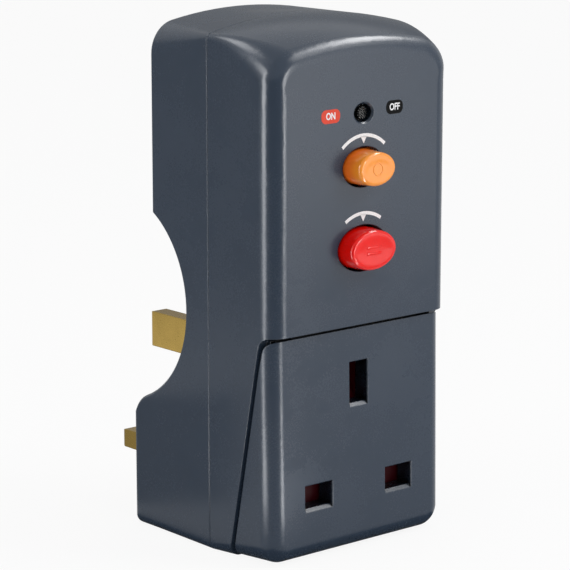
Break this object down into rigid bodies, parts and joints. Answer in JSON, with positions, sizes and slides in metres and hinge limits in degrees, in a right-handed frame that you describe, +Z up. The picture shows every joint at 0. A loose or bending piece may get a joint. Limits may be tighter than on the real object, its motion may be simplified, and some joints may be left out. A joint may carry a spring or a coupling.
{
  "type": "plug-in residual current adaptor",
  "caption": "Plug-in residual current adaptor: square-pin plug at the back, shuttered socket in the lower front, reset and test push buttons and a status window above.",
  "frame": {"origin": "on the plug face, midway between the earth pin's axis and the line pins' axes", "axes": "+X right seen from the front, +Y out of the plug face towards the wall outlet, +Z up, along the length"},
  "size_m": [0.049, 0.0732, 0.1108],
  "materials": {
    "casing": "satin moulded shell with a fine grain",
    "window": "clear moulded lens",
    "brass": "plain stamped brass",
    "sleeve": "black insulation",
    "black_plastic": "glass-filled moulding",
    "cream_plastic": "moulded nylon",
    "shutter_red": "smooth moulding",
    "orange_plastic": "glossy moulding",
    "red_plastic": "glossy moulding",
    "flag": "black with an orange half",
    "steel": "plated steel",
    "bronze": "phosphor bronze strip",
    "copper": "plated copper strip",
    "enamelled_wire": "enamelled copper",
    "board_green": "laminate with lacquer",
    "capacitor_red": "dipped resin",
    "resistor_blue": "lacquered body",
    "ferrite": "sintered ring",
    "brown_insulation": "flexible insulation",
    "blue_insulation": "flexible insulation"
  },
  "bodies": {
    "casing": {"rear_housing": "casing", "front_housing": "casing", "socket_cover": "casing", "indicator_window": "window", "earth_pin": "brass", "live_pin": "brass", "neutral_pin": "brass", "live_pin_sleeve": "sleeve", "neutral_pin_sleeve": "sleeve", "pin_retainer": "black_plastic", "earth_contact": "brass", "live_contact": "brass", "neutral_contact": "brass", "contact_block": "black_plastic", "shutter_spring": "steel", "reset_spring": "steel", "test_leaf": "bronze", "mechanism_frame": "black_plastic", "carrier_springs": "steel", "live_input_strip": "copper", "neutral_input_strip": "copper", "live_output_strip": "copper", "neutral_output_strip": "copper", "plunger_spring": "steel", "coil_former": "cream_plastic", "coil_winding": "enamelled_wire", "coil_yoke": "steel", "circuit_board": "board_green", "board_chip": "black_plastic", "board_capacitor": "capacitor_red", "board_resistors": "resistor_blue", "sensing_core": "ferrite", "sensing_winding": "enamelled_wire", "live_lead": "brown_insulation", "neutral_lead": "blue_insulation", "housing_screws": "steel", "cover_screws": "steel"},
    "reset_button": {"reset_button": "orange_plastic"},
    "test_button": {"test_button": "red_plastic"},
    "shutter": {"shutter": "shutter_red"},
    "carrier": {"contact_carrier": "cream_plastic", "live_bridge": "copper", "neutral_bridge": "copper", "latch_pin": "steel"},
    "latch": {"latch_lever": "steel"},
    "flag": {"indicator_flag": "flag"},
    "plunger": {"trip_plunger": "steel"}
  },
  "joints": [
    {"name": "reset_press", "type": "slide", "parent": "casing", "child": "reset_button", "axis": [0, 1, 0], "range_m": [0, 0.003], "stiffness_N_per_m": 500, "springref_m": -0.003, "deforming": ["reset_spring"]},
    {"name": "test_press", "type": "slide", "parent": "casing", "child": "test_button", "axis": [0, 1, 0], "range_m": [0, 0.002], "stiffness_N_per_m": 500, "springref_m": -0.003, "deforming": ["test_leaf"]},
    {"name": "shutter_slide", "type": "slide", "parent": "casing", "child": "shutter", "axis": [0, 0, -1], "range_m": [0, 0.0058], "stiffness_N_per_m": 100, "springref_m": -0.004, "deforming": ["shutter_spring"]},
    {"name": "carrier_slide", "type": "slide", "parent": "casing", "child": "carrier", "axis": [0, -1, 0], "range_m": [0, 0.0024], "stiffness_N_per_m": 400, "springref_m": -0.004, "deforming": ["carrier_springs"]},
    {"name": "flag_turn", "type": "hinge", "parent": "casing", "child": "flag", "pos_m": [0, -0.0345, 0.0671], "axis": [-1, 0, 0], "range_deg": [0, 38.3]},
    {"name": "plunger_slide", "type": "slide", "parent": "casing", "child": "plunger", "axis": [1, 0, 0], "range_m": [0, 0.0025], "stiffness_N_per_m": 150, "springref_m": -0.004, "deforming": ["plunger_spring"]},
    {"name": "latch_turn", "type": "hinge", "parent": "carrier", "child": "latch", "pos_m": [0.009, -0.0173, 0.0561], "axis": [0, 1, 0], "range_deg": [0, 9.1]}
  ],
  "couplings": [
    {"joint": "flag_turn", "follows": "carrier_slide", "rad_per_m": 277.7},
    {"joint": "latch_turn", "follows": "plunger_slide", "rad_per_m": 62.83}
  ]
}
